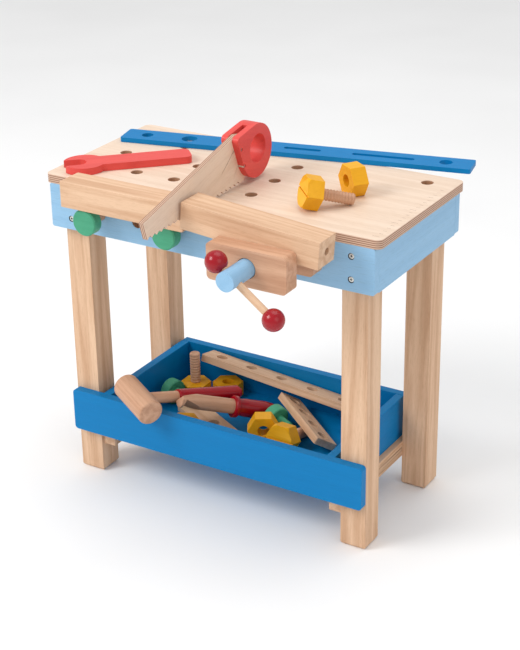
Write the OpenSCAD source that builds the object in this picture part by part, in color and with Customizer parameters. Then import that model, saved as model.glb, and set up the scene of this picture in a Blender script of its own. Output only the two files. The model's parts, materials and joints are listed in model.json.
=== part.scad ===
// Toy workbench with a front vice, a tool tray and loose wooden tools.
// Origin on the floor below the middle of the whole, X to the right, Y to the back, Z up. Millimetres.

/* [Overall size] */
// Length of the worktop, left to right
bench_len = 500; // [440:1:620]
// Depth of the worktop, front to back
bench_depth = 240; // [220:1:300]
// Height of the working surface above the floor
bench_h = 445; // [380:1:560]

/* [Top and frame] */
// Thickness of the plywood worktop
top_t = 12; // [9:0.5:18]
// Corner radius of the worktop
top_r = 9; // [3:1:20]
// Overhang of the worktop past the side panels
over_side = 7; // [2:1:20]
// Thickness of the frame panels
panel_t = 12; // [9:0.5:18]
// Height of the frame panels
panel_h = 61; // [55:1:90]
// Side of the square legs
leg_s = 36.5; // [28:0.5:44]
// Gap between a leg and its side panel
leg_gap = 2; // [1:0.5:6]

/* [Peg holes] */
// Radius of the round peg holes
hole_r = 8.2; // [6:0.1:10]
// Spacing of the hole grid
hole_pitch = 59.25; // [50:0.25:70]
// Rows and columns of the worktop grid
hole_rows = 3; // [1:1:3]
hole_cols = 5; // [1:1:5]
// Length of a peg stem
peg_len = 42; // [36:1:60]
// Length of the stem of the short peg in the tray
short_peg_len = 24; // [18:1:40]
// Radius and thickness of a peg head
peg_head_r = 18; // [12:0.5:20]
peg_head_t = 16; // [10:0.5:20]

/* [Vice] */
// Length, height and thickness of a jaw
jaw_len = 112; // [90:1:140]
jaw_h = 48.5; // [44:0.5:56]
jaw_t = 24; // [20:0.5:34]
// Radius of the turned screw head
screw_r = 12.5; // [11:0.1:15]
// Radius over the crests of the wooden thread
thread_r = 9; // [7:0.1:10]
// Advance of the vice for one turn
thread_pitch = 8; // [5:0.5:12]
// Length of the screw head in front of the jaw
head_out = 47; // [40:1:60]
// Radius of the tommy bar and of its balls
bar_r = 4.75; // [3.5:0.05:6]
ball_r = 14; // [11:0.1:16]
// Length of the tommy bar between ball centres
bar_len = 97; // [80:1:120]

/* [Timbers] */
// Section of the two timbers, front to back and height
timber_d = 39.4; // [30:0.1:42]
timber_h = 35; // [28:0.5:45]
// Length of the sawn timber and of the clamped timber
timber_l_len = 190; // [150:1:230]
timber_r_len = 194; // [150:1:230]
// Tilt of the clamped timber in degrees
timber_tilt = 4.8; // [0:0.1:8]

/* [Tools] */
// Thickness of the saw blade
saw_t = 7; // [4:0.5:9]
// Thickness of the saw handle
saw_handle_t = 25; // [18:0.5:30]
// Pitch of the saw teeth
tooth_pitch = 10; // [6:0.5:14]
// Thickness of the spanner
spanner_t = 9.7; // [6:0.1:14]
// Length, width and thickness of the ruler
ruler_len = 496; // [400:1:520]
ruler_w = 40; // [30:1:50]
ruler_t = 6.5; // [4:0.1:9]
// Width across the flats of the big nuts and bolt heads
hex_af = 39; // [28:0.5:42]
// Thickness of the nuts and bolt heads
hex_t = 21.5; // [14:0.5:26]
// Length and crest radius of the bolt shanks
shank_len = 46; // [36:1:60]
shank_r = 7.7; // [6:0.1:8.5]
// Pitch of the bolt threads
shank_pitch = 4; // [3:0.25:6]
// Hammer head radius and length
hammer_r = 18; // [12:0.5:22]
hammer_len = 77; // [55:1:85]

/* [Tray] */
// Height of the tray boards and of their bottom edge above the floor
tray_h = 61.5; // [50:0.5:80]
tray_z = 66.5; // [50:0.5:90]
// Thickness of the tray boards and of the tray floor
tray_t = 12; // [8:0.5:16]
floor_t = 5; // [3:0.5:8]
// Gap between the tray and the legs beside it
tray_gap = 8.5; // [6:0.5:14]
// Width and height of the bearer rails
bearer_w = 20; // [16:0.5:26]
bearer_h = 22.5; // [16:0.5:30]

/* [Fits] */
// Radial clearance of parts that slide or turn
run_gap = 0.3; // [0.1:0.05:0.6]
// Gap between a loose piece and what it rests on
rest_gap = 0.3; // [0.1:0.05:0.6]

/* [Hidden] */
C_PLY = [0.93, 0.88, 0.80];
C_PINE = [0.88, 0.74, 0.58];
C_BEECH = [0.82, 0.65, 0.52];
C_SKY = [0.55, 0.75, 0.90];
C_BLUE = [0.00, 0.45, 0.75];
C_RED = [0.85, 0.25, 0.25];
C_DEEP = [0.70, 0.10, 0.15];
C_GREEN = [0.25, 0.60, 0.45];
C_YELLOW = [0.95, 0.70, 0.15];
C_STEEL = [0.75, 0.75, 0.73];
hx = bench_len / 2;
hy = bench_depth / 2;
z_fr = bench_h - top_t;
z_fb = z_fr - panel_h;
z_pm = (z_fr + z_fb) / 2;
px = hx - over_side;
lx1 = px - panel_t - leg_gap;
lx0 = lx1 - leg_s;
ly1 = hy - panel_t;
ly0 = ly1 - leg_s;
lxc = (lx0 + lx1) / 2;
lyc = (ly0 + ly1) / 2;
frame_screw_dz = panel_h / 4;
screw_head_r = 4.4;
screw_head_t = 3;
screw_shank_r = 2;
dowel_r = 3;
grid_x = -hx + 46;
grid_y = -hole_pitch + 1.3;
odd_x = hx - 40;
odd_y = hy - 30;
stem_r = hole_r - run_gap;
peg_x = -hx + 88;
peg_gap_x = 58.5;
peg_left_out = 37;
peg_right_out = 27;
vx = hx - 135;
vz = z_fr - 19;
jaw_y0 = -hy - (jaw_t - 2);
jaw_y1 = jaw_y0 - timber_d - 2 * rest_gap;
jaw_y2 = jaw_y1 - jaw_t;
recess_d = jaw_t / 2;
collar_t = 5;
screw_front = jaw_y2 - head_out;
screw_in = jaw_y2 + recess_d - rest_gap;
screw_end = -hy + 54;
guide_r = 4;
guide_dx = 22;
guide_z = vz - 15;
guide_end = -hy + 40;
bar_y = screw_front + 16;
bar_slide = screw_r + ball_r + rest_gap;
bar_ang = 36.9;
nutb_t = 22;
tray_x1 = lx0 - tray_gap;
tray_x0 = tray_x1 - tray_t;
tray_yb1 = ly1 - 6;
tray_yb0 = tray_yb1 - tray_t;
tray_yf = -ly1;
fz = tray_z + floor_t;
tl_x1 = -5.2;
tl_z = z_pm + peg_head_r + rest_gap;
tr_x = 104;
tr_z = bench_h + 0.4;
tr_y = jaw_y0 - rest_gap - timber_d / 2;
saw_tip = -hy - 127;
saw_rise = 1.4;
hex_r = hex_af / sqrt(3);
bore_r = shank_r + 0.4;
lie_tilt = asin((hex_af / 2 - shank_r) / shank_len);
// the loose pieces reach past the bench at the front and the back: the origin is the middle of everything
saw_front = -hy - (-saw_tip - hy + 7) * cos(saw_rise) - 24 * sin(saw_rise);
ruler_az = 12.8;
ruler_back = hy - 11 + (ruler_len / 2 - 3) * sin(ruler_az) + (ruler_w / 2 - 3) * cos(ruler_az) + 3;
y_shift = -(saw_front + ruler_back) / 2;

// ---- helpers
module rrect(a, b, r) {
  square([a - 2 * r, b], center = true);
  square([a, b - 2 * r], center = true);
  for (i = [-1, 1], j = [-1, 1]) translate([i * (a / 2 - r), j * (b / 2 - r)]) circle(r = r, $fn = 32);
}
// board with rounded corners in the plan view
module board_z(a, b, t, r) { linear_extrude(t) rrect(a, b, r); }
// board standing along X, corners rounded in the front view, front face at y = 0, base at z = 0
module board_y(a, h, t, r) {
  translate([0, t, h / 2]) rotate([90, 0, 0]) linear_extrude(t) rrect(a, h, r);
}
module rod_y(r, y0, y1, fn = 32) {
  translate([0, y1, 0]) rotate([90, 0, 0]) cylinder(r = r, h = y1 - y0, $fn = fn);
}
module rod_x(r, x0, x1, fn = 32) {
  translate([x0, 0, 0]) rotate([0, 90, 0]) cylinder(r = r, h = x1 - x0, $fn = fn);
}
// shaft of revolution with thread-like ridges, from z = 0 to z = len
module ridged(r, depth, pitch, len) {
  n = max(1, floor(len / pitch));
  p = len / n;
  rotate_extrude($fn = 28) polygon(concat([[0, 0]],
    [for (i = [0 : n - 1]) each [[r - depth, i * p], [r, (i + 0.5) * p]]], [[r - depth, len], [0, len]]));
}
// hexagonal head or nut blank along Z, one flat facing down -Y, bevelled rim on the top
module hex_blank(t) {
  intersection() {
    cylinder(r = hex_r, h = t, $fn = 6);
    rotate_extrude($fn = 36)
      polygon([[0, 0], [hex_r + 1, 0], [hex_r + 1, t - 4], [hex_r - 2.5, t], [0, t]]);
  }
}
module bolt_head() {
  difference() {
    hex_blank(hex_t);
    translate([-hex_af, -1, hex_t - 2]) cube([2 * hex_af, 2, 4]);
    translate([0, 0, -1]) cylinder(r = shank_r - 1, h = 9, $fn = 28);
  }
}
module bolt_shank() {
  translate([0, 0, -shank_len]) ridged(shank_r, 0.9, shank_pitch, shank_len);
  translate([0, 0, -0.01]) cylinder(r = shank_r - 1, h = 8.01, $fn = 28);
}
module big_nut() {
  difference() {
    cylinder(r = hex_r, h = hex_t, center = true, $fn = 6);
    translate([0, 0, -hex_t]) cylinder(r = bore_r, h = 2 * hex_t, $fn = 28);
  }
}

// ---- structure
module leg(x, y) {
  translate([x, y, 0]) intersection() {
    translate([0, leg_s / 2, 0]) rotate([90, 0, 0]) linear_extrude(leg_s) union() {
      translate([0, 20]) rrect(leg_s, 40, 5);
      translate([-leg_s / 2, 20]) square([leg_s, z_fr - 20]);
    }
    translate([-leg_s / 2, 0, 0]) rotate([90, 0, 90]) linear_extrude(leg_s) union() {
      translate([0, 20]) rrect(leg_s, 40, 5);
      translate([-leg_s / 2, 20]) square([leg_s, z_fr - 20]);
    }
  }
}
module frame_screw_bores() {
  for (x = [-lxc, lxc], s = [-1, 1], k = [-1, 1]) translate([x, 0, z_pm + s * frame_screw_dz]) {
    rod_y(screw_shank_r, k > 0 ? hy - 30 : -hy - 1, k > 0 ? hy + 1 : -hy + 30, 16);
    rod_y(screw_head_r, k > 0 ? hy - screw_head_t : -hy - 1, k > 0 ? hy + 1 : -hy + screw_head_t, 24);
  }
}
module frame_screw(k) {
  for (x = [-lxc, lxc], s = [-1, 1]) translate([x, 0, z_pm + s * frame_screw_dz]) {
    rod_y(screw_shank_r, k > 0 ? hy - 30 : -hy + 2, k > 0 ? hy - 2 : -hy + 30, 16);
    rod_y(screw_head_r, k > 0 ? hy - screw_head_t : -hy + 0.3, k > 0 ? hy - 0.3 : -hy + screw_head_t, 24);
  }
}
bscrew_z = tray_z - bearer_h / 2;
module bearer_screw_set(grow) {
  for (k = [-1, 1], y = [-lyc - 8, -lyc + 8, lyc - 8, lyc + 8]) translate([0, y, bscrew_z]) {
    rod_x(screw_shank_r, k > 0 ? lx0 - bearer_w + 1 : -lx0 - 14, k > 0 ? lx0 + 14 : -lx0 + bearer_w - 1, 16);
    rod_x(3.5, k > 0 ? lx0 - bearer_w - grow : -lx0 + bearer_w - 3,
      k > 0 ? lx0 - bearer_w + 3 : -lx0 + bearer_w + grow, 16);
  }
}
dowel_xs = [-lx1 + 45, -60, 60, lx1 - 45];
module dowel_set() {
  for (x = dowel_xs, k = [-1, 1])
    translate([x, k * (hy - panel_t / 2), z_fr - 12]) cylinder(r = dowel_r, h = 20, $fn = 16);
  for (x = [-lxc, lxc], z = [tray_z + 14, tray_z + tray_h - 14])
    translate([x, 0, z]) rod_y(dowel_r, tray_yf - 8, tray_yf + 12, 16);
}
module worktop() {
  color(C_PLY) difference() {
    translate([0, 0, z_fr]) linear_extrude(top_t) difference() {
      rrect(bench_len, bench_depth, top_r);
      for (i = [0 : hole_cols - 1], j = [0 : hole_rows - 1])
        translate([grid_x + i * hole_pitch, grid_y + j * hole_pitch]) circle(r = hole_r, $fn = 36);
      translate([odd_x, odd_y]) circle(r = hole_r, $fn = 36);
    }
    dowel_set();
  }
}
module panel_front() {
  color(C_SKY) difference() {
    translate([0, -hy, z_fb]) board_y(2 * px, panel_h, panel_t, 3);
    for (i = [0 : 2]) translate([peg_x + i * peg_gap_x, 0, z_pm])
      rod_y(hole_r, -hy - 1, -hy + panel_t + 1, 36);
    translate([vx, 0, vz]) rod_y(thread_r + 2 * run_gap, -hy - 1, -hy + panel_t + 1);
    for (k = [-1, 1]) translate([vx + k * guide_dx, 0, guide_z])
      rod_y(guide_r + run_gap, -hy - 1, -hy + panel_t + 1, 24);
    frame_screw_bores();
    dowel_set();
  }
}
module panel_rear() {
  color(C_SKY) difference() {
    translate([0, hy - panel_t, z_fb]) board_y(2 * px, panel_h, panel_t, 3);
    frame_screw_bores();
    dowel_set();
  }
}
module panel_side(k) {
  color(C_SKY) translate([k > 0 ? px - panel_t : -px, -hy + panel_t, z_fb])
    cube([panel_t, bench_depth - 2 * panel_t, panel_h]);
}
module leg_node(kx, ky) {
  color(C_PINE) difference() {
    leg(kx * lxc, ky * lyc);
    frame_screw_bores();
    bearer_screw_set(0);
    dowel_set();
  }
}
module bearer(k) {
  color(C_PINE) difference() {
    translate([k > 0 ? lx0 - bearer_w : -lx0, -ly1 + 4, tray_z - bearer_h])
      cube([bearer_w, 2 * ly1 - 8, bearer_h]);
    bearer_screw_set(1);
  }
}
module tray_front() {
  color(C_BLUE) difference() {
    translate([0, tray_yf - tray_t, tray_z]) board_y(2 * lx1, tray_h, tray_t, 5);
    dowel_set();
  }
}
module tray_rear() {
  color(C_BLUE) translate([-tray_x1, tray_yb0, tray_z]) cube([2 * tray_x1, tray_t, tray_h]);
}
module tray_side(k) {
  color(C_BLUE) translate([k > 0 ? tray_x0 : -tray_x1, tray_yf, tray_z])
    cube([tray_t, tray_yb0 - tray_yf, tray_h]);
}
module tray_floor() {
  color(C_BLUE) translate([-tray_x0, tray_yf, tray_z]) cube([2 * tray_x0, tray_yb0 - tray_yf, floor_t]);
}
module screws_front() { color(C_STEEL) frame_screw(-1); }
module screws_rear() { color(C_STEEL) frame_screw(1); }
module screws_bearer() { color(C_STEEL) bearer_screw_set(0); }
module dowels() { color(C_BEECH) dowel_set(); }

// ---- vice
module jaw_body(y0, y1) { translate([vx, y0, vz - jaw_h / 2]) board_y(jaw_len, jaw_h, y1 - y0, 6); }
module jaw_fixed() {
  color(C_BEECH) difference() {
    jaw_body(jaw_y0, -hy);
    translate([vx, 0, vz]) rod_y(thread_r + 2 * run_gap, jaw_y0 - 1, -hy + 1);
    for (k = [-1, 1]) translate([vx + k * guide_dx, 0, guide_z])
      rod_y(guide_r + run_gap, jaw_y0 - 1, -hy + 1, 24);
  }
}
module nut_block() {
  color(C_BEECH) translate([vx, -hy + panel_t, vz]) difference() {
    translate([-16, 0, -16]) cube([32, nutb_t, 32]);
    rod_y(thread_r + run_gap, -1, nutb_t + 1);
  }
}
module jaw_moving() {
  color(C_BEECH) difference() {
    jaw_body(jaw_y2, jaw_y1);
    translate([vx, 0, vz]) {
      rod_y(thread_r + run_gap, jaw_y2 - 1, jaw_y1 + 1);
      rod_y(screw_r + 3 * run_gap, jaw_y2 - 1, jaw_y2 + recess_d);
      rod_y(screw_r + run_gap, jaw_y1 - collar_t - 2 * rest_gap, jaw_y1 + 1);
    }
    for (k = [-1, 1]) translate([vx + k * guide_dx, 0, guide_z]) rod_y(guide_r, jaw_y1 - 14, jaw_y1 + 1, 24);
  }
}
module guide_pins() {
  color(C_BEECH) for (k = [-1, 1]) translate([vx + k * guide_dx, 0, guide_z])
    rod_y(guide_r, jaw_y1 - 14, guide_end, 24);
}
module vice_screw() {
  color(C_SKY) translate([vx, 0, vz]) difference() {
    union() {
      rod_y(screw_r, screw_front, screw_in, 48);
      rod_y(thread_r, screw_in - 1, jaw_y1 + 2, 32);
      translate([0, jaw_y1 + 1.9, 0]) rotate([-90, 0, 0])
        ridged(thread_r, 1.1, thread_pitch / 2, screw_end - jaw_y1 - 1.9);
    }
    translate([0, bar_y, 0]) rotate([0, bar_ang, 0]) rod_x(bar_r + run_gap, -screw_r - 2, screw_r + 2, 28);
  }
}
module vice_collar() {
  color(C_BEECH) translate([vx, 0, vz]) difference() {
    rod_y(screw_r - run_gap, jaw_y1 - collar_t - rest_gap, jaw_y1 - rest_gap);
    rod_y(thread_r, jaw_y1 - collar_t - 1, jaw_y1 + 1);
  }
}
module on_bar() { translate([vx, bar_y, vz]) rotate([0, bar_ang, 0]) children(); }
module tommy_bar() {
  color(C_PINE) on_bar() rod_x(bar_r, -bar_slide - 6, bar_len - bar_slide + 6, 28);
}
module tommy_balls() {
  color(C_DEEP) on_bar() difference() {
    for (x = [-bar_slide, bar_len - bar_slide]) translate([x, 0, 0]) sphere(r = ball_r, $fn = 48);
    rod_x(bar_r, -bar_slide - 6, bar_len - bar_slide + 6, 28);
  }
}

// ---- pegs
// peg along -Z: head from z = 0 down, stem up to z = peg_len
module peg_head() {
  difference() {
    rotate_extrude($fn = 48) polygon([[0, -peg_head_t], [peg_head_r - 1.5, -peg_head_t],
      [peg_head_r, -peg_head_t + 1.5], [peg_head_r, -1.5], [peg_head_r - 1.5, 0], [0, 0]]);
    translate([0, 0, -8]) cylinder(r = stem_r - 1, h = 9, $fn = 28);
  }
}
module peg_stem() {
  rotate_extrude($fn = 36) polygon([[0, -8], [stem_r - 1, -8], [stem_r - 1, 0], [stem_r, 0],
    [stem_r, peg_len - 2], [stem_r - 1.5, peg_len], [0, peg_len]]);
}
module on_panel(i, out) {
  translate([peg_x + i * peg_gap_x, -hy - out + peg_head_t, z_pm]) rotate([-90, 0, 0]) children();
}
module peg_left_head() { color(C_GREEN) on_panel(0, peg_left_out) peg_head(); }
module peg_left_stem() { color(C_BEECH) on_panel(0, peg_left_out) peg_stem(); }
module peg_right_head() { color(C_GREEN) on_panel(2, peg_right_out) peg_head(); }
module peg_right_stem() { color(C_BEECH) on_panel(2, peg_right_out) peg_stem(); }
module peg_whole(len) {
  rotate_extrude($fn = 48) polygon([[0, -peg_head_t], [peg_head_r - 1.5, -peg_head_t],
    [peg_head_r, -peg_head_t + 1.5], [peg_head_r, -1.5], [peg_head_r - 1.5, 0], [stem_r, 0],
    [stem_r, len - 2], [stem_r - 1.5, len], [0, len]]);
}

// ---- timbers
module timber_left() {
  color(C_PINE) translate([tl_x1 - timber_l_len, -hy - 0.6 - timber_d, tl_z])
    cube([timber_l_len, timber_d, timber_h]);
}
module timber_right() {
  color(C_PINE) translate([tr_x, tr_y, tr_z]) rotate([0, timber_tilt, 0]) difference() {
    cube([timber_r_len, timber_d, timber_h], center = true);
    rod_x(5, timber_r_len / 2 - 25, timber_r_len / 2 + 1, 24);
  }
}

// ---- saw, standing on its teeth: local x across, y along from the tip, z up
blade_len = 232;
module in_saw() {
  translate([0, saw_tip, bench_h + rest_gap + 0.6]) translate([0, -saw_tip - hy, 0]) rotate([saw_rise, 0, 0])
    translate([0, saw_tip + hy, 0]) children();
}
module saw_profile() {
  n = floor((blade_len - 22) / tooth_pitch);
  polygon(concat([[-7, 24], [0, 0]],
    [for (i = [0 : n - 1]) each [[(i + 0.55) * tooth_pitch, 4], [(i + 1) * tooth_pitch, 0]]],
    [[blade_len - 12, 2], [blade_len, 20], [blade_len, 62], [blade_len - 28, 68]]));
}
module saw_handle_profile() {
  difference() {
    hull() {
      translate([241, 37]) circle(r = 36, $fn = 64);
      translate([200, 62]) circle(r = 6, $fn = 24);
    }
    translate([242, 40]) circle(r = 19, $fn = 48);
  }
}
module side_x(t) { translate([-t / 2, 0, 0]) rotate([90, 0, 90]) linear_extrude(t) children(); }
module rivet_at() { for (p = [[203, 50], [209, 26]]) translate([0, p[0], p[1]]) children(); }
module saw_blade() {
  color(C_PLY) in_saw() difference() {
    side_x(saw_t) difference() {
      saw_profile();
      translate([242, 40]) circle(r = 21, $fn = 48);
    }
    rivet_at() rod_x(2.5, -saw_t, saw_t, 16);
  }
}
module saw_handle() {
  color(C_RED) in_saw() difference() {
    side_x(saw_handle_t) saw_handle_profile();
    side_x(saw_t) translate([180, -20]) square([blade_len - 180 + 0.5, 110]);
    rivet_at() rod_x(2.5, -saw_handle_t, saw_handle_t, 16);
  }
}
module saw_rivets() {
  color(C_STEEL) in_saw() rivet_at() rod_x(2.5, -saw_handle_t / 2 + 1.5, saw_handle_t / 2 - 1.5, 16);
}

// ---- spanner and ruler
module spanner() {
  color(C_RED) translate([-hx + 54, -hy + 57, bench_h + rest_gap]) rotate([0, 0, 44]) linear_extrude(spanner_t)
    difference() {
      union() {
        translate([-25, 0]) circle(r = 28.5, $fn = 56);
        translate([50, 0]) rrect(138, 35, 8);
      }
      translate([-33, -11]) translate([-30, 0]) square([30, 22]);
      translate([-33, 0]) circle(r = 11, $fn = 32);
    }
}
module slot2d(x0, x1, r) {
  translate([x0 + r, 0]) circle(r = r, $fn = 28);
  translate([x1 - r, 0]) circle(r = r, $fn = 28);
  translate([x0 + r, -r]) square([x1 - x0 - 2 * r, 2 * r]);
}
module ruler() {
  color(C_BLUE) translate([-0.6, hy - 11, bench_h + rest_gap]) rotate([0, 0, ruler_az]) linear_extrude(ruler_t)
    difference() {
      rrect(ruler_len, ruler_w, 3);
      translate([-0.432 * ruler_len, 0]) circle(r = 8.2, $fn = 36);
      translate([-0.306 * ruler_len, 0]) circle(r = 11, $fn = 40);
      slot2d(-0.028 * ruler_len, 0.078 * ruler_len, 4);
      slot2d(0.166 * ruler_len, 0.34 * ruler_len, 4);
      translate([0.426 * ruler_len, 0]) circle(r = 9, $fn = 36);
    }
}

// ---- bolts and nuts
// bolt lying on its head and the end of its shank; p is the plan point under the inner face of the head
module lying(p, az, base) {
  translate([p[0], p[1], base + rest_gap + hex_af / 2 * cos(lie_tilt)]) rotate([0, 0, az])
    rotate([0, 90 + lie_tilt, 0])
    rotate([180, 0, 90]) children();
}
top_bolt = [132.3, -58.3];
module bolt_top_head() { color(C_YELLOW) lying(top_bolt, 43.7, bench_h) bolt_head(); }
module bolt_top_shank() { color(C_BEECH) lying(top_bolt, 43.7, bench_h) bolt_shank(); }
// nut standing on a flat, its bore level; p is the plan point of its centre
module standing(p, az, base) {
  translate([p[0], p[1], base + rest_gap + hex_af / 2]) rotate([0, 0, az]) rotate([0, 90, 0]) rotate([0, 0, 90])
    children();
}
module nut_top() { color(C_YELLOW) standing([146.3, 6.2], 55.4, bench_h) big_nut(); }
low_bolt = [69.3, tray_yf + 73.4];
module bolt_low_head() { color(C_YELLOW) lying(low_bolt, 87, fz) bolt_head(); }
module bolt_low_shank() { color(C_BEECH) lying(low_bolt, 87, fz) bolt_shank(); }
tall_bolt = [-129.8, tray_yf + 149.9];
module on_tall() {
  translate([tall_bolt[0], tall_bolt[1], fz + rest_gap + hex_t]) rotate([180, 0, 0]) rotate([0, 0, -31])
    children();
}
module bolt_tall_head() { color(C_YELLOW) on_tall() bolt_head(); }
module bolt_tall_shank() { color(C_BEECH) on_tall() bolt_shank(); }
module nut_flat() {
  color(C_YELLOW) translate([-88.8, tray_yb0 - 24.7, fz + rest_gap + hex_t / 2]) rotate([0, 0, 31]) big_nut();
}
module nut_lean() { color(C_YELLOW) standing([27.5, tray_yf + 80], -59, fz) big_nut(); }
module nut_front() {
  color(C_YELLOW) translate([-80, tray_yf + 44, fz + rest_gap + hex_t / 2]) rotate([0, 0, 25]) big_nut();
}

// ---- hammer: head centre, handle toward local +X, head along local Y
hm_c = [-111.3, -hy - 7.4, tray_z + tray_h + 17.7];
hm_end = [-39, -hy + 137, fz + 38.1];
hm_v = hm_end - hm_c;
hm_len = norm(hm_v);
hm_az = atan2(hm_v[1], hm_v[0]);
hm_dip = asin(-hm_v[2] / hm_len);
module in_hammer() {
  translate(hm_c) rotate([0, 0, hm_az]) rotate([0, hm_dip, 0]) rotate([7.3, 0, 0]) children();
}
module hammer_head() {
  color(C_BEECH) in_hammer() difference() {
    translate([0, hammer_len / 2, 0]) rotate([90, 0, 0]) rotate_extrude($fn = 48)
      polygon(concat([[0, 0]], [for (a = [-90 : 15 : 0]) [hammer_r - 3 + 3 * cos(a), 3 + 3 * sin(a)]],
        [for (a = [0 : 15 : 90]) [hammer_r - 3 + 3 * cos(a), hammer_len - 3 + 3 * sin(a)]], [[0, hammer_len]]));
    rod_x(6, -9, hammer_r + 2, 24);
  }
}
module hammer_shaft() {
  color(C_BEECH) in_hammer() {
    rod_x(6, -9, hammer_r + 2, 24);
    difference() {
      rod_x(8, hammer_r - 4, hm_len - 8, 32);
      rotate([90, 0, 0]) cylinder(r = hammer_r, h = hammer_len, center = true, $fn = 48);
    }
  }
}
module hammer_grip() {
  color(C_DEEP) in_hammer() difference() {
    translate([62, 0, 0]) rotate([0, 90, 0]) rotate_extrude($fn = 36)
      polygon([[0, 0], [9.6, 0], [10.2, 2], [10.2, hm_len - 67], [7.5, hm_len - 62], [0, hm_len - 62]]);
    rod_x(8, hammer_r - 4, hm_len - 8, 32);
  }
}

// ---- screwdriver: tip at local x = 0, two flat facets form the blade
dr_len = 157;
dr_r = 15.5;
dr_neck = 82;
dr_shaft_r = 10.7;
module in_driver() {
  translate([-68.3, tray_yf + 18.8, fz + 66.9]) rotate([0, 0, 55.4]) rotate([0, 20, 0]) rotate([-43.2, 0, 0])
    children();
}
module driver_shaft() {
  color(C_BEECH) in_driver() difference() {
    rod_x(dr_shaft_r, 0, dr_neck + 18, 36);
    for (k = [-1, 1]) translate([-1, -14, k > 0 ? 1.8 : -23.8]) rotate([0, k > 0 ? -17 : 17, 0]) cube([40, 28, 22]);
  }
}
module driver_handle() {
  color(C_DEEP) in_driver() difference() {
    translate([dr_neck, 0, 0]) rotate([0, 90, 0]) rotate_extrude($fn = 48)
      polygon([[0, 0], [dr_r - 1.5, 0], [dr_r, 1.5], [dr_r, 6], [dr_r - 1.5, 7.5], [dr_r - 4, 8.5], [dr_r - 2.6, 20],
        [dr_r - 2.6, 52], [dr_r - 4.5, 66], [dr_r - 9, dr_len - dr_neck], [0, dr_len - dr_neck]]);
    rod_x(dr_shaft_r, 0, dr_neck + 18, 36);
  }
}

// ---- tray pegs, bars and plank
module tray_peg_a() {
  color(C_GREEN) translate([-138, tray_yf + 111.4, fz + peg_head_r + rest_gap]) rotate([0, 0, -12])
    rotate([0, 90 + 2, 0]) peg_whole(peg_len);
}
module tray_peg_b() {
  color(C_GREEN) translate([33.5, tray_yf + 112, fz + peg_head_r + rest_gap]) rotate([0, 0, -20])
    rotate([0, 90 + 9, 0]) peg_whole(short_peg_len);
}
module strip(len, w, t, n, r) {
  linear_extrude(t) difference() {
    rrect(len, w, 2);
    for (i = [0 : n - 1]) translate([-len / 2 + len * (i + 0.5) / n, 0]) circle(r = r, $fn = 28);
  }
}
module bar_long() {
  color(C_PINE) translate([-1.3, tray_yb0 - 21.7, fz + 36.5]) rotate([0, 5.37, 0]) rotate([-13, 0, 0])
    strip(252, 35, 10, 5, hole_r);
}
module bar_short() {
  color(C_PINE) translate([67.4, tray_yf + 125.7, fz + 15]) rotate([0, 0, -37.3]) rotate([0, 3.4, 0])
    rotate([-32.9, 0, 0]) strip(131, 35, 10, 4, hole_r);
}
module plank() {
  color(C_PINE) translate([-52.5, tray_yf + 76.2, fz + rest_gap]) rotate([0, 0, -28]) linear_extrude(8) difference() {
    rrect(150, 36, 3);
    circle(r = 8.2, $fn = 36);
  }
}

module place() { translate([0, y_shift, 0]) children(); }
place() worktop();
place() panel_front();
place() panel_rear();
place() panel_side(-1);  // panel_left
place() panel_side(1);  // panel_right
place() leg_node(-1, -1);  // leg_front_left
place() leg_node(1, -1);  // leg_front_right
place() leg_node(-1, 1);  // leg_rear_left
place() leg_node(1, 1);  // leg_rear_right
place() bearer(-1);  // bearer_left
place() bearer(1);  // bearer_right
place() tray_front();
place() tray_rear();
place() tray_side(-1);  // tray_left
place() tray_side(1);  // tray_right
place() tray_floor();
place() screws_front();
place() screws_rear();
place() screws_bearer();
place() dowels();
place() jaw_fixed();
place() nut_block();
place() jaw_moving();
place() guide_pins();
place() vice_screw();
place() vice_collar();
place() tommy_bar();
place() tommy_balls();
place() peg_left_head();
place() peg_left_stem();
place() peg_right_head();
place() peg_right_stem();
place() timber_left();
place() timber_right();
place() saw_blade();
place() saw_handle();
place() saw_rivets();
place() spanner();
place() ruler();
place() bolt_top_head();
place() bolt_top_shank();
place() nut_top();
place() hammer_head();
place() hammer_shaft();
place() hammer_grip();
place() driver_shaft();
place() driver_handle();
place() bolt_tall_head();
place() bolt_tall_shank();
place() nut_flat();
place() nut_lean();
place() bolt_low_head();
place() bolt_low_shank();
place() nut_front();
place() tray_peg_a();
place() tray_peg_b();
place() bar_long();
place() bar_short();
place() plank();
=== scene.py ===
"""Toy workbench: materials, soft edges and small surface details around the fixed CAD frame."""
import json
import math
import random
import bmesh
import bpy
import numpy as np
from mathutils import Matrix, Vector


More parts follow.
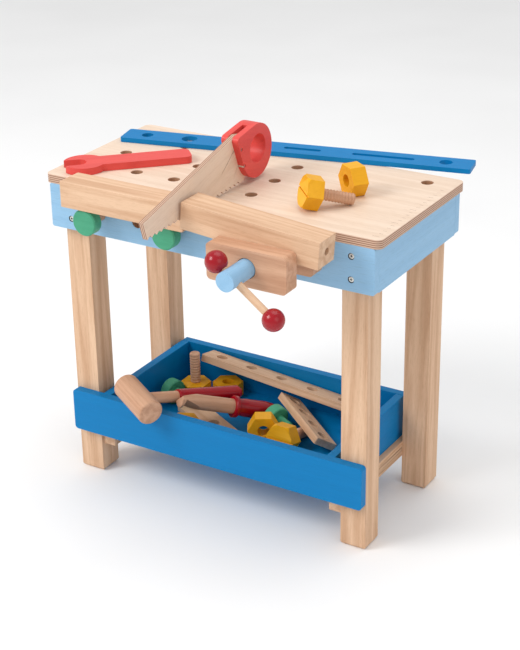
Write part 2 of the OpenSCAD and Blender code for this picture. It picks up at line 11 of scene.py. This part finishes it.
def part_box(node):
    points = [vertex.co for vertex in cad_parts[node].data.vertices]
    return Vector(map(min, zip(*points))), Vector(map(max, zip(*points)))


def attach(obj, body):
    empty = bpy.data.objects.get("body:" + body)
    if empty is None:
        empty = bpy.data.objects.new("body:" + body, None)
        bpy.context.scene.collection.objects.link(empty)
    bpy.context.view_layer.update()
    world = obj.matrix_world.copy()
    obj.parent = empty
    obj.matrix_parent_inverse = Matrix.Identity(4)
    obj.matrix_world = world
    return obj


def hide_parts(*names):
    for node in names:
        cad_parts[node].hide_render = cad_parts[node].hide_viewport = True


MM = 0.001
SHINE = 0.18          # specular level of every wooden surface
COAT_ROUGHNESS = 0.15
SOFT_ANGLE = math.radians(32)   # edges sharper than this are softened
WELD_GAP = 0.01 * MM
random.seed(7)
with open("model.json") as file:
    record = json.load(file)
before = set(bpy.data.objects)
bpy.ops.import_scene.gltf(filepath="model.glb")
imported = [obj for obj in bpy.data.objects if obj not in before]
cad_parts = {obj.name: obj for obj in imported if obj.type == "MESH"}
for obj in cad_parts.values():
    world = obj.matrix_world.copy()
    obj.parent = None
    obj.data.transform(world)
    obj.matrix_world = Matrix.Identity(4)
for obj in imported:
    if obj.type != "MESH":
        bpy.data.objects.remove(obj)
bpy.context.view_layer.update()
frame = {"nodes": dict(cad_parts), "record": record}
record = frame["record"]
scene = bpy.context.scene
SLOT = {s["node"]: s["material_slot"] for s in record["subparts"]}
BODY = {n: b for b, ns in record["behaviour"]["bodies"].items() for n in ns}


def srgb(r, g, b):
    """Linear colour from 8-bit screen values."""
    return tuple(((c / 255 + 0.055) / 1.055) ** 2.4 if c > 10 else c / 3295 for c in (r, g, b)) + (1.0,)


# slot: light tone, dark tone, how much grain shows, roughness, gloss coat, bump height
LOOK = {
    "plywood": (srgb(232, 210, 190), srgb(218, 192, 168), 0.55, 0.50, 0.05, 0.05),
    "pine": (srgb(226, 190, 158), srgb(196, 152, 118), 0.75, 0.55, 0.03, 0.08),
    "beech": (srgb(212, 168, 138), srgb(182, 134, 104), 0.70, 0.45, 0.08, 0.07),
    "sky_paint": (srgb(148, 190, 222), srgb(136, 180, 214), 0.50, 0.45, 0.06, 0.05),
    "blue_paint": (srgb(0, 122, 184), srgb(0, 112, 174), 0.35, 0.46, 0.02, 0.06),
    "coral_paint": (srgb(226, 84, 78), srgb(210, 70, 66), 0.50, 0.42, 0.08, 0.05),
    "red_paint": (srgb(160, 8, 26), srgb(140, 4, 20), 0.40, 0.24, 0.45, 0.02),
    "green_paint": (srgb(72, 158, 122), srgb(54, 138, 104), 0.50, 0.42, 0.10, 0.05),
    "yellow_paint": (srgb(234, 170, 26), srgb(220, 152, 18), 0.50, 0.45, 0.08, 0.05),
}
# finishes whose sharp edges turn paler: painted highlight on the rounded edges, together with edge wear
EDGE_HIGHLIGHT_AND_WEAR = {"green_paint", "yellow_paint"}
BURNT = srgb(178, 134, 102)
# width of the softened edges in mm, by node name start
SOFT = [("leg", 1.6), ("timber", 1.3), ("panel", 1.0), ("tray_peg", 0.0), ("tray", 1.1), ("worktop", 0.9),
        ("bearer", 1.0), ("jaw", 1.6), ("saw_handle", 1.8), ("saw_blade", 0.5), ("spanner", 0.9), ("ruler", 0.6),
        ("nut_block", 1.0), ("nut", 0.6), ("bolt_top_head", 0.4), ("bolt_tall_head", 0.4), ("bolt_low_head", 0.4),
        ("bar", 0.7), ("plank", 0.7), ("driver_shaft", 0.5)]


def node_of(tree, kind, **values):
    """A new shader node with these properties."""
    n = tree.nodes.new(kind)
    for k, v in values.items():
        setattr(n, k, v)
    return n


def principal_axis(obj):
    """Direction of the longest extent of a mesh, the way the grain runs."""
    co = np.array([v.co for v in obj.data.vertices], float)
    co -= co.mean(0)
    axis = np.linalg.eigh(co.T @ co)[1][:, -1]
    return Vector(axis) if axis[np.argmax(abs(axis))] > 0 else -Vector(axis)


def wood(name, look, grain, centre, plies=None, edge_highlight_and_wear=False):
    """Wood or painted wood whose grain runs along the vector grain; plies is the plywood's thickness direction."""
    light, dark, amount, rough, coat, height = look
    mat = bpy.data.materials.new(name)
    mat.use_nodes = True
    t = mat.node_tree
    link = t.links.new
    bsdf = t.nodes["Principled BSDF"]
    coord = node_of(t, "ShaderNodeTexCoord")
    turn = Vector((1, 0, 0)).rotation_difference(grain).to_euler()

    def local(stretch):
        m = node_of(t, "ShaderNodeMapping", vector_type="TEXTURE")
        m.inputs["Location"].default_value = centre + Vector([random.uniform(-0.02, 0.02) for _ in range(3)])
        m.inputs["Rotation"].default_value = turn
        m.inputs["Scale"].default_value = stretch
        link(coord.outputs["Object"], m.inputs["Vector"])
        return m

    bands = node_of(t, "ShaderNodeTexNoise")
    bands.inputs["Scale"].default_value = 1.0
    bands.inputs["Detail"].default_value = 5.0
    bands.inputs["Distortion"].default_value = 0.6
    link(local((0.30, 0.010, 0.010)).outputs[0], bands.inputs["Vector"])
    fibre = node_of(t, "ShaderNodeTexNoise")
    fibre.inputs["Scale"].default_value = 1.0
    fibre.inputs["Detail"].default_value = 4.0
    link(local((0.012, 0.0009, 0.0009)).outputs[0], fibre.inputs["Vector"])
    ramp = node_of(t, "ShaderNodeValToRGB")
    ramp.color_ramp.elements[0].position = 0.36
    ramp.color_ramp.elements[0].color = dark
    ramp.color_ramp.elements[1].position = 0.62
    ramp.color_ramp.elements[1].color = light
    link(bands.outputs["Fac"], ramp.inputs["Fac"])
    flat = node_of(t, "ShaderNodeMix", data_type="RGBA")
    flat.inputs["Factor"].default_value = amount
    flat.inputs["A"].default_value = light
    link(ramp.outputs["Color"], flat.inputs["B"])
    pores = node_of(t, "ShaderNodeValToRGB")
    pores.color_ramp.elements[0].position = 0.30
    pores.color_ramp.elements[0].color = (0.72, 0.66, 0.60, 1)
    pores.color_ramp.elements[1].position = 0.48
    pores.color_ramp.elements[1].color = (1, 1, 1, 1)
    link(fibre.outputs["Fac"], pores.inputs["Fac"])
    mul = node_of(t, "ShaderNodeMix", data_type="RGBA", blend_type="MULTIPLY")
    mul.inputs["Factor"].default_value = 0.55 * amount
    link(flat.outputs["Result"], mul.inputs["A"])
    link(pores.outputs["Color"], mul.inputs["B"])
    colour = mul.outputs["Result"]
    geo = node_of(t, "ShaderNodeNewGeometry")
    if plies is not None:
        # thin glue lines across the cut edges, where the face turns away from the thickness direction
        stripes = node_of(t, "ShaderNodeTexWave", wave_type="BANDS", bands_direction="X")
        stripes.inputs["Scale"].default_value = 1.0
        stripes.inputs["Distortion"].default_value = 0.4
        m = node_of(t, "ShaderNodeMapping", vector_type="TEXTURE")
        m.inputs["Rotation"].default_value = Vector((1, 0, 0)).rotation_difference(plies).to_euler()
        m.inputs["Scale"].default_value = (0.0082, 0.3, 0.3)
        link(coord.outputs["Object"], m.inputs["Vector"])
        link(m.outputs[0], stripes.inputs["Vector"])
        dot = node_of(t, "ShaderNodeVectorMath", operation="DOT_PRODUCT")
        dot.inputs[1].default_value = plies
        link(geo.outputs["True Normal"], dot.inputs[0])
        edge = node_of(t, "ShaderNodeMath", operation="ABSOLUTE")
        link(dot.outputs["Value"], edge.inputs[0])
        side = node_of(t, "ShaderNodeMath", operation="LESS_THAN")
        side.inputs[1].default_value = 0.6
        link(edge.outputs[0], side.inputs[0])
        layer = node_of(t, "ShaderNodeValToRGB")
        layer.color_ramp.elements[0].position = 0.25
        layer.color_ramp.elements[0].color = srgb(146, 106, 84)
        layer.color_ramp.elements[1].position = 0.55
        layer.color_ramp.elements[1].color = srgb(208, 176, 154)
        link(stripes.outputs["Fac"], layer.inputs["Fac"])
        cut = node_of(t, "ShaderNodeMix", data_type="RGBA")
        link(side.outputs[0], cut.inputs["Factor"])
        link(colour, cut.inputs["A"])
        link(layer.outputs["Color"], cut.inputs["B"])
        colour = cut.outputs["Result"]
    # paler colour on sharp edges: painted highlight where light catches the rounded edges, together with edge wear
    if edge_highlight_and_wear:
        edge_highlight_mask = node_of(t, "ShaderNodeMapRange")
        edge_highlight_mask.inputs["From Min"].default_value = 0.53
        edge_highlight_mask.inputs["From Max"].default_value = 0.62
        link(geo.outputs["Pointiness"], edge_highlight_mask.inputs["Value"])
        painted_edge_highlight = node_of(t, "ShaderNodeMix", data_type="RGBA")
        link(edge_highlight_mask.outputs["Result"], painted_edge_highlight.inputs["Factor"])
        painted_edge_highlight.inputs["B"].default_value = tuple(min(1, 1.22 * c + 0.03) for c in light[:3]) + (1,)
        link(colour, painted_edge_highlight.inputs["A"])
        colour = painted_edge_highlight.outputs["Result"]
    link(colour, bsdf.inputs["Base Color"])
    vary = node_of(t, "ShaderNodeMapRange")
    vary.inputs["To Min"].default_value = rough + 0.08
    vary.inputs["To Max"].default_value = rough - 0.06
    link(fibre.outputs["Fac"], vary.inputs["Value"])
    link(vary.outputs["Result"], bsdf.inputs["Roughness"])
    bsdf.inputs["Coat Weight"].default_value = coat
    bsdf.inputs["Coat Roughness"].default_value = COAT_ROUGHNESS
    bsdf.inputs["Specular IOR Level"].default_value = SHINE
    bump = node_of(t, "ShaderNodeBump")
    bump.inputs["Strength"].default_value = height * 4
    bump.inputs["Distance"].default_value = 0.0004
    link(fibre.outputs["Fac"], bump.inputs["Height"])
    link(bump.outputs["Normal"], bsdf.inputs["Normal"])
    return mat


def plain(name, colour, rough, metal=0.0, grain=40.0):
    """A single finish with faint mottling."""
    mat = bpy.data.materials.new(name)
    mat.use_nodes = True
    t = mat.node_tree
    bsdf = t.nodes["Principled BSDF"]
    coord = node_of(t, "ShaderNodeTexCoord")
    noise = node_of(t, "ShaderNodeTexNoise")
    noise.inputs["Scale"].default_value = grain
    ramp = node_of(t, "ShaderNodeValToRGB")
    ramp.color_ramp.elements[0].color = tuple(0.88 * c for c in colour[:3]) + (1,)
    ramp.color_ramp.elements[1].color = colour
    t.links.new(coord.outputs["Object"], noise.inputs["Vector"])
    t.links.new(noise.outputs["Fac"], ramp.inputs["Fac"])
    t.links.new(ramp.outputs["Color"], bsdf.inputs["Base Color"])
    bsdf.inputs["Roughness"].default_value = rough
    bsdf.inputs["Metallic"].default_value = metal
    return mat


steel = plain("steel_finish", srgb(222, 222, 216), 0.32, 0.85, 400.0)
burnt = plain("burnt_edge", BURNT, 0.8, 0.0, 300.0)
# near-black brown: painted shade inside the screw countersinks and the cross recesses
dark = plain("painted_recess_shade", srgb(64, 58, 54), 0.7, 0.0, 300.0)
ink = plain("engraved_line", srgb(150, 116, 90), 0.8, 0.0, 500.0)

# ---- every carried CAD node: grain, paint and soft edges
UP = Vector((0, 0, 1))
for node, obj in frame["nodes"].items():
    slot = SLOT[node]
    obj.data.materials.clear()
    if slot == "steel":
        obj.data.materials.append(steel)
        continue
    lo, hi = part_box(node)
    grain = principal_axis(obj)
    if node in ("worktop", "panel_front", "panel_rear", "tray_floor", "tray_front"):
        grain = Vector((1, 0, 0))
    plies = None
    if node == "worktop":
        plies = UP
    if node == "saw_blade":
        plies = Vector((1, 0, 0))
    obj.data.materials.append(
        wood(node + "_finish", LOOK[slot], grain, (lo + hi) / 2, plies, slot in EDGE_HIGHLIGHT_AND_WEAR))
    width = next((w for start, w in SOFT if node.startswith(start)), 0.0)
    if width:
        if "custom_normal" in obj.data.attributes:
            obj.data.attributes.remove(obj.data.attributes["custom_normal"])
        obj.data.polygons.foreach_set("use_smooth", [True] * len(obj.data.polygons))
        weld = obj.modifiers.new("weld", "WELD")
        weld.merge_threshold = WELD_GAP
        soft = obj.modifiers.new("soft", "BEVEL")
        soft.width = width * MM
        soft.segments = 3
        soft.limit_method = "ANGLE"
        soft.angle_limit = SOFT_ANGLE
        soft.miter_outer = "MITER_ARC"
        tidy = obj.modifiers.new("normals", "WEIGHTED_NORMAL")
        tidy.keep_sharp = False


def new_piece(name, bm, body, materials):
    """The bmesh as an object that rides on the body, with the given materials."""
    me = bpy.data.meshes.new(name)
    bmesh.ops.recalc_face_normals(bm, faces=bm.faces)
    bm.to_mesh(me)
    bm.free()
    obj = bpy.data.objects.new(name, me)
    scene.collection.objects.link(obj)
    for m in materials:
        me.materials.append(m)
    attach(obj, body)
    return obj


# ---- cross-recess screws in countersinks, painted dark as shade: depths below the board's face, widths as shares of the radius
CONE_TOP, CONE_DEPTH, RIM_DEPTH, DOME_DEPTH = 0.35 * MM, 1.5 * MM, 0.75 * MM, 0.45 * MM
CROSS_DEPTH, BACK_DEPTH = 1.7 * MM, 2.6 * MM
HEAD_SHARE, DOME_SHARE, ARM_SHARE, TIP_SHARE, CROSS_TAPER = 0.80, 0.62, 0.13, 0.44, 0.6
SCREW_HEAD_R = 4.4 * MM


def screw(bm, at, out, head_r, turn):
    """Screw head seen from the direction out, its rim flush with the point at; the recess is a tapered cross."""
    side = Vector((1, 0, 0))
    up = out.cross(side)

    def place(x, y, depth):
        c, s = math.cos(turn), math.sin(turn)
        return at + side * (c * x - s * y) + up * (s * x + c * y) - out * depth

    def ring(r, depth, n=28):
        return [bm.verts.new(place(r * math.cos(2 * math.pi * i / n), r * math.sin(2 * math.pi * i / n), depth))
                for i in range(n)]

    def bridge(a, b, index):
        for i in range(len(a)):
            bm.faces.new((a[i], a[(i + 1) % len(a)], b[(i + 1) % len(b)], b[i])).material_index = index

    # cone around the head, dark as painted shade, then the rounded head itself
    cone_out, cone_in = ring(head_r, CONE_TOP), ring(HEAD_SHARE * head_r, CONE_DEPTH)
    bridge(cone_out, cone_in, 1)
    rim, dome = ring(HEAD_SHARE * head_r, RIM_DEPTH), ring(DOME_SHARE * head_r, DOME_DEPTH)
    bridge(cone_in, rim, 0)
    bridge(rim, dome, 0)
    arm, tip = ARM_SHARE * head_r, TIP_SHARE * head_r
    cross = []
    for k in range(4):
        a = k * math.pi / 2
        for x, y in ((tip, -arm), (tip, arm), (arm, arm)):
            cross.append((x * math.cos(a) - y * math.sin(a), x * math.sin(a) + y * math.cos(a)))
    top = [bm.verts.new(place(x, y, DOME_DEPTH)) for x, y in cross]
    low = [bm.verts.new(place(CROSS_TAPER * x, CROSS_TAPER * y, CROSS_DEPTH)) for x, y in cross]
    edges = [bm.edges.get((dome[i], dome[(i + 1) % len(dome)])) for i in range(len(dome))]
    edges += [bm.edges.new((top[i], top[(i + 1) % len(top)])) for i in range(len(top))]
    bmesh.ops.triangle_fill(bm, edges=edges, use_beauty=True)
    # walls and floor of the cross in the same painted shade
    bridge(top, low, 1)
    bm.faces.new(low).material_index = 1
    # back of the piece, hidden in the board
    back = ring(head_r, BACK_DEPTH)
    bridge(cone_out, back, 1)
    bm.faces.new(back).material_index = 1


for node, out in (("screws_front", Vector((0, -1, 0))), ("screws_rear", Vector((0, 1, 0)))):
    lo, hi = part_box(node)
    face_y = lo.y if out.y < 0 else hi.y
    bm = bmesh.new()
    for x in (lo.x + SCREW_HEAD_R, hi.x - SCREW_HEAD_R):
        for z in (lo.z + SCREW_HEAD_R, hi.z - SCREW_HEAD_R):
            screw(bm, Vector((x, face_y, z)), out, SCREW_HEAD_R, random.uniform(0, math.pi / 2))
    heads = new_piece(node + "_heads", bm, "bench", [steel, dark])
    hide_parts(node)


# ---- dark laser-cut walls of the peg holes, thin rings just inside the bores
def sleeve(bm, centre, axis, r, length, wall=0.07 * MM, n=40):
    """A thin closed tube around the axis through the centre."""
    turn = UP.rotation_difference(axis).to_matrix()
    loops = []
    for rad, z in ((r, -length / 2), (r, length / 2), (r - wall, length / 2), (r - wall, -length / 2)):
        loops.append([bm.verts.new(centre + turn @ Vector(
            (rad * math.cos(2 * math.pi * i / n), rad * math.sin(2 * math.pi * i / n), z))) for i in range(n)])
    for a, b in zip(loops, loops[1:] + loops[:1]):
        for i in range(n):
            bm.faces.new((a[i], a[(i + 1) % n], b[(i + 1) % n], b[i]))


mounts = {m["name"]: m for m in record["mounts"]}
hole_r = mounts["top_hole_front"]["dims"]["r_mm"] * MM
last_hole = Vector(mounts["top_hole_front"]["pos_m"])
PITCH = 59.25 * MM          # of the grid in the worktop
PANEL_PITCH = 58.5 * MM     # of the row in the front board
COLS, ROWS = 5, 3
SLEEVE_GAP = 0.02 * MM      # between a sleeve and its bore
TOP_BEVELS, PANEL_BEVELS = 1.9 * MM, 2.2 * MM
top_lo, top_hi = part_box("worktop")
top_mid = (top_lo.z + top_hi.z) / 2
sleeve_r = hole_r - SLEEVE_GAP
top_length = top_hi.z - top_lo.z - TOP_BEVELS
bm = bmesh.new()
for i in range(COLS):
    for j in range(ROWS):
        at = Vector((last_hole.x - i * PITCH, last_hole.y + j * PITCH, top_mid))
        sleeve(bm, at, UP, sleeve_r, top_length)
corner = Vector(mounts["top_hole_corner"]["pos_m"])
sleeve(bm, Vector((corner.x, corner.y, top_mid)), UP, sleeve_r, top_length)
new_piece("worktop_hole_walls", bm, "bench", [burnt])

front_lo, front_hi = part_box("panel_front")
middle = Vector(mounts["front_hole_middle"]["pos_m"])
bm = bmesh.new()
for i in (-1, 0, 1):
    at = Vector((middle.x + i * PANEL_PITCH, (front_lo.y + front_hi.y) / 2, middle.z))
    sleeve(bm, at, Vector((0, 1, 0)), sleeve_r, front_hi.y - front_lo.y - PANEL_BEVELS)
new_piece("front_hole_walls", bm, "bench", [burnt])

# ---- engraved ruler lines along the right edge of the worktop
TICKS, STEP, FIRST = 19, 10 * MM, 12 * MM
LONG, SHORT, EVERY = 9 * MM, 5 * MM, 5      # every fifth line is a long one
MARGIN, LINE_W, LINE_T = 8 * MM, 0.45 * MM, 0.06 * MM
bm = bmesh.new()
for i in range(TICKS):
    length = LONG if i % EVERY == 0 else SHORT
    at = Vector((top_hi.x - MARGIN - length / 2, top_lo.y + FIRST + i * STEP, top_hi.z))
    size = Matrix.Diagonal((length, LINE_W, LINE_T, 1))
    bmesh.ops.create_cube(bm, size=1.0, matrix=Matrix.Translation(at) @ size)
new_piece("worktop_ticks", bm, "bench", [ink])

# ---- floor, light and camera
FLOOR_HALF = 6
floor = bpy.data.meshes.new("floor")
floor.from_pydata([(x * FLOOR_HALF, y * FLOOR_HALF, 0) for x, y in ((-1, -1), (1, -1), (1, 1), (-1, 1))],
                  [], [(0, 1, 2, 3)])
floor.materials.append(plain("floor_finish", (0.97, 0.97, 0.97, 1), 0.9, 0.0, 2.0))
floor_obj = bpy.data.objects.new("floor", floor)
scene.collection.objects.link(floor_obj)


def lamp(name, at, size, power, target=Vector((0, 0, 0.3))):
    """A round area light aimed at the middle of the bench."""
    data = bpy.data.lights.new(name, "AREA")
    data.shape = "DISK"
    data.size = size
    data.energy = power
    obj = bpy.data.objects.new(name, data)
    obj.location = at
    obj.rotation_euler = (target - Vector(at)).to_track_quat("-Z", "Y").to_euler()
    scene.collection.objects.link(obj)


lamp("key", (-1.6, -2.2, 2.6), 1.8, 64)
lamp("fill", (2.4, -1.2, 1.6), 2.0, 9)
lamp("top", (0.2, 0.6, 3.0), 2.4, 24)
world = bpy.data.worlds.new("studio")
scene.world = world
world.use_nodes = True
world.node_tree.nodes["Background"].inputs["Color"].default_value = (1, 1, 1, 1)
world.node_tree.nodes["Background"].inputs["Strength"].default_value = 0.68
scene.view_settings.view_transform = "Standard"

# camera axes: right, up and forward of the viewing direction, and its place
RIGHT = Vector((0.85642691, 0.51605276, -0.01491631))
TOP = Vector((-0.20605266, 0.3681654, 0.90664025))
AHEAD = Vector((-0.47336587, 0.77339756, -0.4216408))
EYE = Vector((1.05107, -1.669045, 1.16166))
camera = bpy.data.cameras.new("camera")
camera.sensor_width = 36
camera.lens = 89.36
camera_obj = bpy.data.objects.new("camera", camera)
camera_obj.matrix_world = Matrix.Translation(EYE) @ Matrix((RIGHT, TOP, -AHEAD)).transposed().to_4x4()
scene.collection.objects.link(camera_obj)
scene.camera = camera_obj
